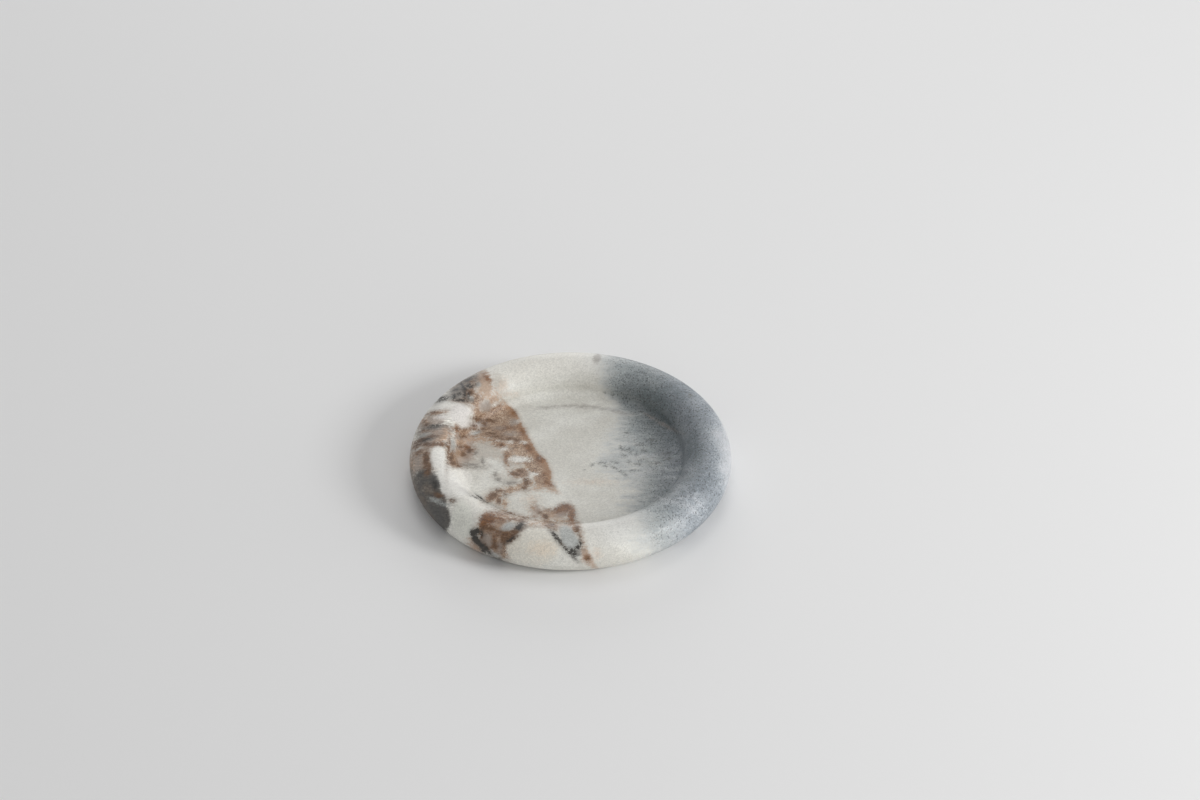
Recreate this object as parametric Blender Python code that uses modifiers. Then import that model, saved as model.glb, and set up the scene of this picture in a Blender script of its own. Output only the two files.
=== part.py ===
# A round stone tray: one turned and honed body, whose full rolled rim goes round a flat well.
# It stands on four felt pads, each stuck with its own adhesive disc in a pocket of the underside.
# The origin is on the surface that the tray stands on, under its centre, with +Z up.

from math import cos, pi, radians, sin

import bmesh
import bpy
from mathutils import Vector

MM = 0.001

# Stone body
TRAY_DIAMETER = 160 * MM
SLAB_THICKNESS = 20 * MM
RIM_WIDTH = 23.4 * MM
RIM_CROWN_HEIGHT = 10.7 * MM
LOWER_ROUND_SWEEP = radians(61)
BASE_EDGE_ROUND = 0.8 * MM
WELL_FLOOR_THICKNESS = 5 * MM
WELL_COVE_RADIUS = 4.2 * MM

# Felt pads and the adhesive that holds them
PAD_COUNT = 4
PAD_FIRST_ANGLE = radians(45)
PAD_DIAMETER = 12 * MM
PAD_THICKNESS = 1.2 * MM
PAD_EDGE_ROUND = 0.15 * MM
PAD_STANDS_PROUD = 0.4 * MM
PAD_SET_IN_FROM_BASE_EDGE = 10 * MM
ADHESIVE_THICKNESS = 0.2 * MM
ADHESIVE_SHORT_OF_PAD_EDGE = 0.5 * MM

# Gap kept between two pieces that touch on the real tray
SEAT_GAP = 0.3 * MM
CUT_OVERRUN = 1 * MM
MERGE_DISTANCE = 0.01 * MM

# Fineness of the round forms
TURN_STEPS = 96
LOWER_ROUND_STEPS = 5
CROWN_STEPS = 16
COVE_STEPS = 4
BASE_EDGE_STEPS = 2
PAD_EDGE_STEPS = 2
PAD_SIDES = 32
SHARP_EDGE = radians(35)

# What follows from the sizes above
RIM_HALF_WIDTH = RIM_WIDTH / 2
RIM_CENTRE_RADIUS = TRAY_DIAMETER / 2 - RIM_HALF_WIDTH
WIDEST_ABOVE_BASE = SLAB_THICKNESS - RIM_CROWN_HEIGHT
LOWER_ROUND_HEIGHT = WIDEST_ABOVE_BASE / sin(LOWER_ROUND_SWEEP)
BASE_RADIUS = RIM_CENTRE_RADIUS + RIM_HALF_WIDTH * cos(LOWER_ROUND_SWEEP)
BASE_LEVEL = PAD_STANDS_PROUD
WIDEST_LEVEL = BASE_LEVEL + WIDEST_ABOVE_BASE
FLOOR_LEVEL = BASE_LEVEL + WELL_FLOOR_THICKNESS
WALL_RADIUS = RIM_CENTRE_RADIUS - RIM_HALF_WIDTH
COVE_RADIUS = min(WELL_COVE_RADIUS, WIDEST_LEVEL - FLOOR_LEVEL)

PAD_RADIUS = PAD_DIAMETER / 2
PAD_RING_RADIUS = BASE_RADIUS - PAD_SET_IN_FROM_BASE_EDGE
ADHESIVE_RADIUS = PAD_RADIUS - ADHESIVE_SHORT_OF_PAD_EDGE
ADHESIVE_LEVEL = PAD_THICKNESS + SEAT_GAP
POCKET_RADIUS = PAD_RADIUS + SEAT_GAP
POCKET_ROOF_LEVEL = ADHESIVE_LEVEL + ADHESIVE_THICKNESS + SEAT_GAP

# Colours as they look under plain light, with roughness
STONE_COLOUR = (0.54, 0.52, 0.49)
STONE_ROUGHNESS = 0.55
FELT_COLOUR = (0.16, 0.155, 0.15)
FELT_ROUGHNESS = 0.95
ADHESIVE_COLOUR = (0.72, 0.70, 0.64)
ADHESIVE_ROUGHNESS = 0.4


def clear_scene():
    for old in list(bpy.data.objects):
        bpy.data.objects.remove(old)


def new_collection(name):
    collection = bpy.data.collections.new(name)
    bpy.context.scene.collection.children.link(collection)
    return collection


def new_material(name, colour, roughness):
    material = bpy.data.materials.new(name)
    material.use_nodes = True
    shader = material.node_tree.nodes["Principled BSDF"]
    shader.inputs["Base Color"].default_value = (*colour, 1)
    shader.inputs["Roughness"].default_value = roughness
    shader.inputs["Metallic"].default_value = 0
    return material


def new_object(name, mesh, collection, material=None):
    piece = bpy.data.objects.new(name, mesh)
    collection.objects.link(piece)
    if material:
        mesh.materials.append(material)
    return piece


def arc(centre, half_width, half_height, start, end, steps):
    """Points of an elliptic arc in the XZ plane, both ends included."""
    angles = [start + (end - start) * step / steps for step in range(steps + 1)]
    return [Vector((centre[0] + half_width * cos(a), 0, centre[1] + half_height * sin(a))) for a in angles]


def rounded_corner(before, corner, after, radius, steps):
    """Points of the round of this radius that is tangent to both sides of a corner."""
    towards_before = (before - corner).normalized()
    towards_after = (after - corner).normalized()
    half_angle = towards_before.angle(towards_after) / 2
    middle = (towards_before + towards_after).normalized()
    centre = corner + middle * (radius / sin(half_angle))
    tangent_length = radius * cos(half_angle) / sin(half_angle)
    first = (corner + towards_before * tangent_length - centre).normalized()
    last = (corner + towards_after * tangent_length - centre).normalized()
    return [centre + first.slerp(last, step / steps) * radius for step in range(steps + 1)]


def tray_profile():
    """Half section of the body: out along the well's floor, over the rim and back along the base."""
    cove_centre = (WALL_RADIUS - COVE_RADIUS, FLOOR_LEVEL + COVE_RADIUS)
    rim_centre = (RIM_CENTRE_RADIUS, WIDEST_LEVEL)
    cove = arc(cove_centre, COVE_RADIUS, COVE_RADIUS, -pi / 2, 0, COVE_STEPS)
    crown = arc(rim_centre, RIM_HALF_WIDTH, RIM_CROWN_HEIGHT, pi, 0, CROWN_STEPS)
    lower_round = arc(rim_centre, RIM_HALF_WIDTH, LOWER_ROUND_HEIGHT, 0, -LOWER_ROUND_SWEEP, LOWER_ROUND_STEPS)
    floor_centre = Vector((0, 0, FLOOR_LEVEL))
    base_centre = Vector((0, 0, BASE_LEVEL))
    base_edge = rounded_corner(lower_round[-2], lower_round[-1], base_centre, BASE_EDGE_ROUND, BASE_EDGE_STEPS)
    points = [floor_centre, *cove, *crown, *lower_round[1:-1], *base_edge, base_centre]
    kept = points[:1]
    for point in points[1:]:
        if (point - kept[-1]).length > MERGE_DISTANCE:
            kept.append(point)
    return kept


def turned_mesh_object(name, profile, collection, material):
    """A profile in the XZ plane, turned round the Z axis."""
    mesh = bpy.data.meshes.new(name)
    outline = bmesh.new()
    corners = [outline.verts.new(point) for point in profile]
    for first, second in zip(corners, corners[1:]):
        outline.edges.new((first, second))
    outline.to_mesh(mesh)
    outline.free()
    piece = new_object(name, mesh, collection, material)
    turn = piece.modifiers.new("turn", "SCREW")
    turn.axis = "Z"
    turn.angle = 2 * pi
    turn.steps = TURN_STEPS
    turn.render_steps = TURN_STEPS
    turn.use_smooth_shade = True
    turn.use_merge_vertices = True
    turn.merge_threshold = MERGE_DISTANCE
    return piece


def disc_mesh(name, radius, thickness):
    """A round disc that stands on its own origin."""
    mesh = bpy.data.meshes.new(name)
    disc = bmesh.new()
    bmesh.ops.create_cone(disc, cap_ends=True, segments=PAD_SIDES, radius1=radius, radius2=radius, depth=thickness)
    bmesh.ops.translate(disc, verts=disc.verts, vec=(0, 0, thickness / 2))
    disc.to_mesh(mesh)
    disc.free()
    mesh.shade_smooth()
    mesh.set_sharp_from_angle(angle=SHARP_EDGE)
    return mesh


def pad_places():
    """The pads' centres, evenly spaced under the rim."""
    places = []
    for index in range(PAD_COUNT):
        angle = PAD_FIRST_ANGLE + index * 2 * pi / PAD_COUNT
        places.append(Vector((PAD_RING_RADIUS * cos(angle), PAD_RING_RADIUS * sin(angle), 0)))
    return places


def cut_pocket(body, index, place, cutters):
    """A blind pocket in the underside, open at the base."""
    name = f"pocket_cutter_{index}"
    cutter = new_object(name, disc_mesh(name, POCKET_RADIUS, POCKET_ROOF_LEVEL + CUT_OVERRUN), cutters)
    cutter.location = place - Vector((0, 0, CUT_OVERRUN))
    cutter.display_type = "WIRE"
    cutter.hide_render = True
    pocket = body.modifiers.new(f"pocket_{index}", "BOOLEAN")
    pocket.operation = "DIFFERENCE"
    pocket.solver = "EXACT"
    pocket.object = cutter


def make_pad(index, place, collection, felt):
    name = f"felt_pad_{index}"
    pad = new_object(name, disc_mesh(name, PAD_RADIUS, PAD_THICKNESS), collection, felt)
    pad.location = place
    soft_edge = pad.modifiers.new("soft_edge", "BEVEL")
    soft_edge.width = PAD_EDGE_ROUND
    soft_edge.segments = PAD_EDGE_STEPS
    soft_edge.limit_method = "ANGLE"
    soft_edge.angle_limit = SHARP_EDGE


def make_adhesive(index, place, collection, adhesive):
    name = f"adhesive_disc_{index}"
    disc = new_object(name, disc_mesh(name, ADHESIVE_RADIUS, ADHESIVE_THICKNESS), collection, adhesive)
    disc.location = place + Vector((0, 0, ADHESIVE_LEVEL))


def main():
    clear_scene()
    tray = new_collection("stone_tray")
    cutters = new_collection("stone_tray_cutters")
    stone = new_material("stone", STONE_COLOUR, STONE_ROUGHNESS)
    felt = new_material("felt", FELT_COLOUR, FELT_ROUGHNESS)
    adhesive = new_material("adhesive", ADHESIVE_COLOUR, ADHESIVE_ROUGHNESS)
    body = turned_mesh_object("stone_body", tray_profile(), tray, stone)
    for index, place in enumerate(pad_places(), start=1):
        cut_pocket(body, index, place, cutters)
        make_adhesive(index, place, tray, adhesive)
        make_pad(index, place, tray, felt)


main()
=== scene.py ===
# A small round marble tray with felt pads under it, on a pale table in soft daylight.

from math import atan, cos, pi, radians, sin

import bmesh
import bpy
from mathutils import Matrix, Vector, noise


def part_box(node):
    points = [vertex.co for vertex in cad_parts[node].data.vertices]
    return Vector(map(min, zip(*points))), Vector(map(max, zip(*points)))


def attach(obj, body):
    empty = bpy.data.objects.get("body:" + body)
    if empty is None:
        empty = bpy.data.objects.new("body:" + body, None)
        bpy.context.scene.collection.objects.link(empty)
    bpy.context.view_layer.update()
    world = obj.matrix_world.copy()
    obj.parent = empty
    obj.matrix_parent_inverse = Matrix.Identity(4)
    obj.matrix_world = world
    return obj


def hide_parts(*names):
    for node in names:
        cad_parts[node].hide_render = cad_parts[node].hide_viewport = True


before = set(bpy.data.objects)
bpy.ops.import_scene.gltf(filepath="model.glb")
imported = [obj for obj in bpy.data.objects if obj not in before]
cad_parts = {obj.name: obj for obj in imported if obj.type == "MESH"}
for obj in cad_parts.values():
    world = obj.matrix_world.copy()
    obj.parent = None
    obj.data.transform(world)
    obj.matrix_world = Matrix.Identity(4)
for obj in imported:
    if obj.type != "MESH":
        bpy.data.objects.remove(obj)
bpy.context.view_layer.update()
bodyLow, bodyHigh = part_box("stone_body")
trayRadius = bodyHigh.x
pads = [f"felt_pad_{index}" for index in range(1, 5)]
films = [f"adhesive_disc_{index}" for index in range(1, 5)]
print("frame loaded:", len(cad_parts), "nodes")

# The section of the stone, in metres
stoneBody = {
    "rimWidth": 0.0234,
    "crownHeight": 0.0107,
    "lowerRoundSweep": radians(61),
    "baseEdgeRound": 0.0008,
    "floorThickness": 0.005,
    "coveRadius": 0.0042,
    "turnSteps": 256,
    "crownSteps": 48,
    "lowerRoundSteps": 20,
    "coveSteps": 12,
    "baseEdgeSteps": 4,
    "pocketSides": 64,
    "pocketChamfer": 0.0003,
    "seatGap": 0.0003,
    "sharpEdge": radians(35),
}
widestLevel = bodyHigh.z - stoneBody["crownHeight"]
mergeDistance = 1e-6
tiny = 1e-7


# Camera

photoCamera = {
    "lens": 84,
    "sensor": 36,
    "distance": 1.394,
    "elevation": radians(39.10),
    "photoWidth": 1200,
    "photoHeight": 800,
    "aimPixelX": 570.5,  # where the middle of the tray lies in the photograph
    "aimPixelY": 456.9,
    "clipStart": 0.05,
}


def addCamera(setup):
    data = bpy.data.cameras.new("photoCamera")
    data.lens = setup["lens"]
    data.sensor_width = setup["sensor"]
    camera = bpy.data.objects.new("photoCamera", data)
    bpy.context.scene.collection.objects.link(camera)
    bpy.context.scene.camera = camera
    focalPixels = setup["lens"] / setup["sensor"] * setup["photoWidth"]
    across = (setup["aimPixelX"] - setup["photoWidth"] / 2) / focalPixels
    down = (setup["aimPixelY"] - setup["photoHeight"] / 2) / focalPixels
    tilt = setup["elevation"] - atan(down)
    turn = atan(across / (cos(tilt) - down * sin(tilt)))
    reach = setup["distance"]
    camera.location = (0, -reach * cos(setup["elevation"]), reach * sin(setup["elevation"]) + widestLevel)
    camera.rotation_euler = (pi / 2 - tilt, 0, turn)
    data.clip_start = setup["clipStart"]


addCamera(photoCamera)

# Lamps: all are square softboxes at one distance, turned to the tray
lampDistance = 1.8
lamps = {
    "window": {"azimuth": -20, "elevation": 25, "size": 0.45, "power": 15.2},
    "skyRight": {"azimuth": 0, "elevation": 15, "size": 0.9, "power": 5.6},
    "skyBack": {"azimuth": 90, "elevation": 15, "size": 0.9, "power": 6.6},
    "skyHigh": {"azimuth": 90, "elevation": 65, "size": 0.9, "power": 3.4},
    "fillFront": {"azimuth": -68, "elevation": 6, "size": 0.5, "power": 4.5},
}


def addLamp(name, setup):
    data = bpy.data.lights.new(name, "AREA")
    data.shape = "SQUARE"
    data.size = setup["size"]
    data.energy = setup["power"]
    lamp = bpy.data.objects.new(name, data)
    azimuth, elevation = radians(setup["azimuth"]), radians(setup["elevation"])
    towards = Vector((cos(elevation) * cos(azimuth), cos(elevation) * sin(azimuth), sin(elevation)))
    lamp.location = towards * lampDistance
    lamp.rotation_euler = (-towards).to_track_quat("-Z", "Y").to_euler()
    bpy.context.scene.collection.objects.link(lamp)


for lampName, lampSetup in lamps.items():
    addLamp(lampName, lampSetup)
bpy.context.scene.view_settings.view_transform = "Standard"
print("camera and lamps set")


# Shader maths

mixSockets = {"colourA": 6, "colourB": 7, "colourResult": 2}


class Wire:  # one output socket: sums on it add Math nodes to its tree
    def __init__(self, tree, socket=None):
        self.tree = tree
        self.socket = socket

    def node(self, kind, settings, sockets, output=0):
        made = self.tree.nodes.new("ShaderNode" + kind)
        for name, value in settings.items():
            if name == "stops":
                setStops(made.color_ramp, value)
            elif name == "points":
                setPoints(made.mapping, value)
            else:
                setattr(made, name, value)
        for name, value in sockets.items():
            if isinstance(value, Wire):
                self.tree.links.new(value.socket, made.inputs[name])
            else:
                made.inputs[name].default_value = value
        return Wire(self.tree, made.outputs[output])

    def math(self, operation, *values):
        return self.node("Math", {"operation": operation}, dict(enumerate(values)))

    def __add__(self, other):
        return self.math("ADD", self, other)

    def __sub__(self, other):
        return self.math("SUBTRACT", self, other)

    def __rsub__(self, other):
        return self.math("SUBTRACT", other, self)

    def __mul__(self, other):
        return self.math("MULTIPLY", self, other)

    __radd__ = __add__
    __rmul__ = __mul__


def setStops(ramp, stops):
    elements = ramp.elements
    while len(elements) < len(stops):
        elements.new(1)
    for element, (place, colour) in zip(elements, stops):
        element.position = place
        element.color = colour


def setPoints(mapping, points):
    curve = mapping.curves[0]
    while len(curve.points) < len(points):
        curve.points.new(1, 1)
    for point, place in zip(curve.points, points):
        point.location = place
        point.handle_type = "VECTOR"
    mapping.update()


def tone(red, green, blue):  # a colour as a screen shows it, from 0 to 255
    linear = [((part / 255 + 0.055) / 1.055) ** 2.4 for part in (red, green, blue)]
    return (*linear, 1)


def newMaterial(name, roughness):
    material = bpy.data.materials.new(name)
    material.use_nodes = True
    shader = material.node_tree.nodes["Principled BSDF"]
    shader.inputs["Roughness"].default_value = roughness
    shader.inputs["Metallic"].default_value = 0
    return material, shader, Wire(material.node_tree)


def blend(factor, first, second, kind="MIX"):
    sockets = {0: factor, mixSockets["colourA"]: first, mixSockets["colourB"]: second}
    wire = next(value for value in sockets.values() if isinstance(value, Wire))
    return wire.node("Mix", {"data_type": "RGBA", "blend_type": kind}, sockets, mixSockets["colourResult"])


def cloud(place, size, detail=3, roughness=0.5, output=0):  # soft noise, its lumps about this size
    sockets = {"Vector": place, "Scale": 1 / size, "Detail": detail, "Roughness": roughness}
    return place.node("TexNoise", {"noise_dimensions": "3D"}, sockets, output)


def stretch(place, x, y, z):
    return place.node("VectorMath", {"operation": "MULTIPLY"}, {0: place, 1: (x, y, z)})


def ease(value, start, full):  # 0 before the start, 1 past the full value, whichever way they lie
    sockets = {"Value": value, "From Min": start, "From Max": full}
    return value.node("MapRange", {"interpolation_type": "SMOOTHSTEP"}, sockets)


def cells(place, spacing, output):  # round cells: their colours, or the distance from their middles
    sockets = {"Vector": place, "Scale": 1 / spacing}
    return place.node("TexVoronoi", {"feature": "F1"}, sockets, output)


def channel(colour, name):
    return colour.node("SeparateColor", {}, {"Color": colour}, name)


def axis(place, name):
    return place.node("SeparateXYZ", {}, {0: place}, name)


def objectPlace(wire):
    return wire.node("TexCoord", {}, {}, "Object")


def shadeOf(value):  # a grey of this brightness
    return value.node("CombineColor", {}, {0: value, 1: value, 2: value})


def connect(result, shader, name):
    result.tree.links.new(result.socket, shader.inputs[name])


# Table and room

table = {"size": 8, "segments": 8, "colour": tone(238, 238, 238), "roughness": 0.75}
room = {"light": (0.4, 0.4, 0.4, 1), "seenColour": (0.72, 0.72, 0.72, 1)}


def addTable(setup):
    bm = bmesh.new()
    segments = setup["segments"]
    bmesh.ops.create_grid(bm, x_segments=segments, y_segments=segments, size=setup["size"] / 2)
    mesh = bpy.data.meshes.new("table")
    bm.to_mesh(mesh)
    bm.free()
    top = bpy.data.objects.new("table", mesh)
    bpy.context.scene.collection.objects.link(top)
    material, shader = newMaterial("pale table", setup["roughness"])[:2]
    shader.inputs["Base Color"].default_value = setup["colour"]
    mesh.materials.append(material)


def addRoom(setup):  # an even light, and the grey that is seen behind the table
    world = bpy.data.worlds.new("room")
    bpy.context.scene.world = world
    world.use_nodes = True
    wire = Wire(world.node_tree)
    kinds = ("Camera", "Glossy", "Transmission")
    camera, glossy, through = [wire.node("LightPath", {}, {}, f"Is {kind} Ray") for kind in kinds]
    seen = camera.math("MAXIMUM", camera.math("MAXIMUM", camera, glossy), through)
    colour = blend(seen, setup["light"], setup["seenColour"])
    background = world.node_tree.nodes["Background"]
    wire.tree.links.new(colour.socket, background.inputs["Color"])
    background.inputs["Strength"].default_value = 1


addTable(table)
addRoom(room)


# Stone body

def spinArc(bm, start, centre, angle, steps):  # draws an arc on from a vertex, in the XZ plane
    drawn = bmesh.ops.spin(bm, geom=[start], cent=centre, axis=(0, 1, 0), angle=angle, steps=steps)
    return next(item for item in drawn["geom_last"] if isinstance(item, bmesh.types.BMVert))


def lineTo(bm, start, place):
    drawn = bmesh.ops.extrude_vert_indiv(bm, verts=[start])
    end = drawn["verts"][0]
    end.co = place
    return end


def roundCorner(bm, corner, radius, steps):
    bmesh.ops.bevel(
        bm, geom=[corner], offset=radius, offset_type="OFFSET", segments=steps, profile=0.5,
        affect="VERTICES", material=-1,
    )


def stoneSection(bm, setup):
    rimHalf = setup["rimWidth"] / 2
    rimCentre = (trayRadius - rimHalf, 0, widestLevel)
    floorLevel = bodyLow.z + setup["floorThickness"]
    lowerHeight = (widestLevel - bodyLow.z) / sin(setup["lowerRoundSweep"])
    wall = bm.verts.new((rimCentre[0] - rimHalf, 0, widestLevel))
    outer = spinArc(bm, wall, rimCentre, pi, setup["crownSteps"])
    baseEdge = spinArc(bm, outer, rimCentre, setup["lowerRoundSweep"], setup["lowerRoundSteps"])
    crown = [corner for corner in bm.verts if corner.co.z > widestLevel + tiny]
    lower = [corner for corner in bm.verts if corner.co.z < widestLevel - tiny]
    aboutWidest = Matrix.Translation((0, 0, -widestLevel))
    bmesh.ops.scale(bm, vec=(1, 1, setup["crownHeight"] / rimHalf), space=aboutWidest, verts=crown)
    bmesh.ops.scale(bm, vec=(1, 1, lowerHeight / rimHalf), space=aboutWidest, verts=lower)
    lineTo(bm, baseEdge, (0, 0, bodyLow.z))
    cove = lineTo(bm, wall, (wall.co.x, 0, floorLevel))
    lineTo(bm, cove, (0, 0, floorLevel))
    roundCorner(bm, cove, setup["coveRadius"], setup["coveSteps"])
    roundCorner(bm, baseEdge, setup["baseEdgeRound"], setup["baseEdgeSteps"])


def pocketCutters(setup):  # one mesh that holds a cutter for each pad's pocket
    bm = bmesh.new()
    for pad, film in zip(pads, films):
        padLow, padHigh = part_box(pad)
        centre = (padLow + padHigh) / 2
        radius = padHigh.x - centre.x + setup["seatGap"]
        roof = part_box(film)[1].z + setup["seatGap"]
        mouth = bodyLow.z + setup["pocketChamfer"]
        sides = {"cap_ends": True, "segments": setup["pocketSides"]}
        place = Matrix.Translation((centre.x, centre.y, roof / 2))
        bmesh.ops.create_cone(bm, radius1=radius, radius2=radius, depth=roof, matrix=place, **sides)
        flare = Matrix.Translation((centre.x, centre.y, mouth / 2))
        wide = radius + mouth
        bmesh.ops.create_cone(bm, radius1=wide, radius2=radius, depth=mouth, matrix=flare, **sides)
    mesh = bpy.data.meshes.new("pocketCutters")
    bm.to_mesh(mesh)
    bm.free()
    cutters = bpy.data.objects.new("pocketCutters", mesh)
    bpy.context.scene.collection.objects.link(cutters)
    return cutters


def makeStoneBody(setup):
    bm = bmesh.new()
    stoneSection(bm, setup)
    section = bm.verts[:] + bm.edges[:]
    bmesh.ops.spin(
        bm, geom=section, cent=(0, 0, 0), axis=(0, 0, 1), angle=2 * pi, steps=setup["turnSteps"],
        use_merge=True,
    )
    bmesh.ops.remove_doubles(bm, verts=bm.verts, dist=mergeDistance)
    bmesh.ops.recalc_face_normals(bm, faces=bm.faces)
    mesh = bpy.data.meshes.new("marble_body")
    bm.to_mesh(mesh)
    bm.free()
    body = bpy.data.objects.new("marble_body", mesh)
    bpy.context.scene.collection.objects.link(body)
    cutters = pocketCutters(setup)
    cut = body.modifiers.new("pockets", "BOOLEAN")
    cut.operation = "DIFFERENCE"
    cut.solver = "EXACT"
    cut.use_self = True
    cut.object = cutters
    finished = bpy.data.meshes.new_from_object(body.evaluated_get(bpy.context.evaluated_depsgraph_get()))
    body.modifiers.clear()
    body.data = finished
    bpy.data.objects.remove(cutters)
    finished.shade_smooth()
    finished.set_sharp_from_angle(angle=setup["sharpEdge"])
    return body


marbleBody = makeStoneBody(stoneBody)
print("stone body turned:", len(marbleBody.data.polygons), "faces")

# Marble: its figure is laid out in pattern millimetres, x to the right and v up the dip of the bedding.
# A range runs from no effect to the full effect. Heights are in metres above the table.
marble = {
    "widthInPattern": 160,
    "dip": radians(39.1),
    "white": tone(222, 221, 214),
    "greige": tone(208, 206, 198),
    "cloudRange": (0.35, 0.65),
    "rimWhite": tone(227, 224, 216),
    "coolRim": tone(213, 213, 211),
    "rimCools": (-5, 30),
    "rimHeights": (0.014, 0.02),
    "rimShare": 0.6,
    "drift": 0.8,  # how far the figure is shifted by the wide noise
    "shiver": 0.7,  # and by the fine one
    "frameStep": 15,  # marks turn in steps of this many degrees
    "edge": 0.55,  # share of a group's softness that its edge takes up
    "crumble": 3.4,
    "faultCrumble": 0.7,
    "haloInside": 0.5,
    "dither": 1,
    "ditherGrain": 0.5,
    "ditherPowder": 2,
    "spanV": (-56, 56),
    "spanX": (-60, 90),
    "grainSize": 0.75,
    "grain": 0.17,
    "powder": 0.48,
    "moreInSlate": 1.1,
    "moreInBreccia": 0.15,
    "slateRange": (0.1, 0.6),
    "brecciaRange": (-4, 2),
    "pepperSize": 0.55,
    "pepper": {"range": (0.76, 0.88), "inSlate": 0.44, "elsewhere": 0.05},
    "salt": {"range": (0.8, 0.92), "inSlate": 0.32, "elsewhere": 0.01},
    "pits": {"spacing": 3, "edge": (0.16, 0.07), "kept": (0.72, 0.78), "inSlate": 0.28, "elsewhere": 0.08},
    "roughness": 0.47,
    "cloudRoughness": 0.06,
    "grainRoughness": 0.1,
    "relief": 0.00004,
    "reliefStrength": 0.35,
    "reliefGrain": 0.5,
    "layers": {  # noise: how the pattern is stretched, the size of a lump, detail, roughness
        "drift": (None, 7, 2, 0.5),
        "shiver": (None, 0.9, 3, 0.6),
        "powder": (None, 0.45, 2, 0.6),
        "crumble": ((0.7, 1, 0.8), 1.3, 5, 0.8),
        "clouds": ((0.6, 1, 0.8), 15, 4, 0.6),
        "streaks": ((0.14, 1.1, 0.5), 1.5, 4, 0.65),
        "bands": ((0.18, 0.9, 0.4), 2.6, 5, 0.75),
        "puffs": ((0.5, 1, 0.6), 9, 4, 0.6),
        "mottle": ((0.5, 1, 0.5), 1.3, 5, 0.8),
        "blotch": ((0.6, 1, 0.6), 4.5, 3, 0.6),
        "bedding": ((0.16, 1.4, 0.5), 1.1, 4, 0.7),
    },
}

# The brown breccia ends at this line, as (v, x) places
faultLine = [
    (-56, 14), (-50, 10.5), (-45, 8), (-39, 6), (-30, 3.5), (-24, 1.8), (-18, -5), (-14, -8.4), (-8, -9.6),
    (-3, -11.4), (2, -16), (8, -19.8), (15, -23.4), (20, -25.8), (24.5, -28.5), (29, -34), (35, -38),
    (44, -41), (56, -46),
]

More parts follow.
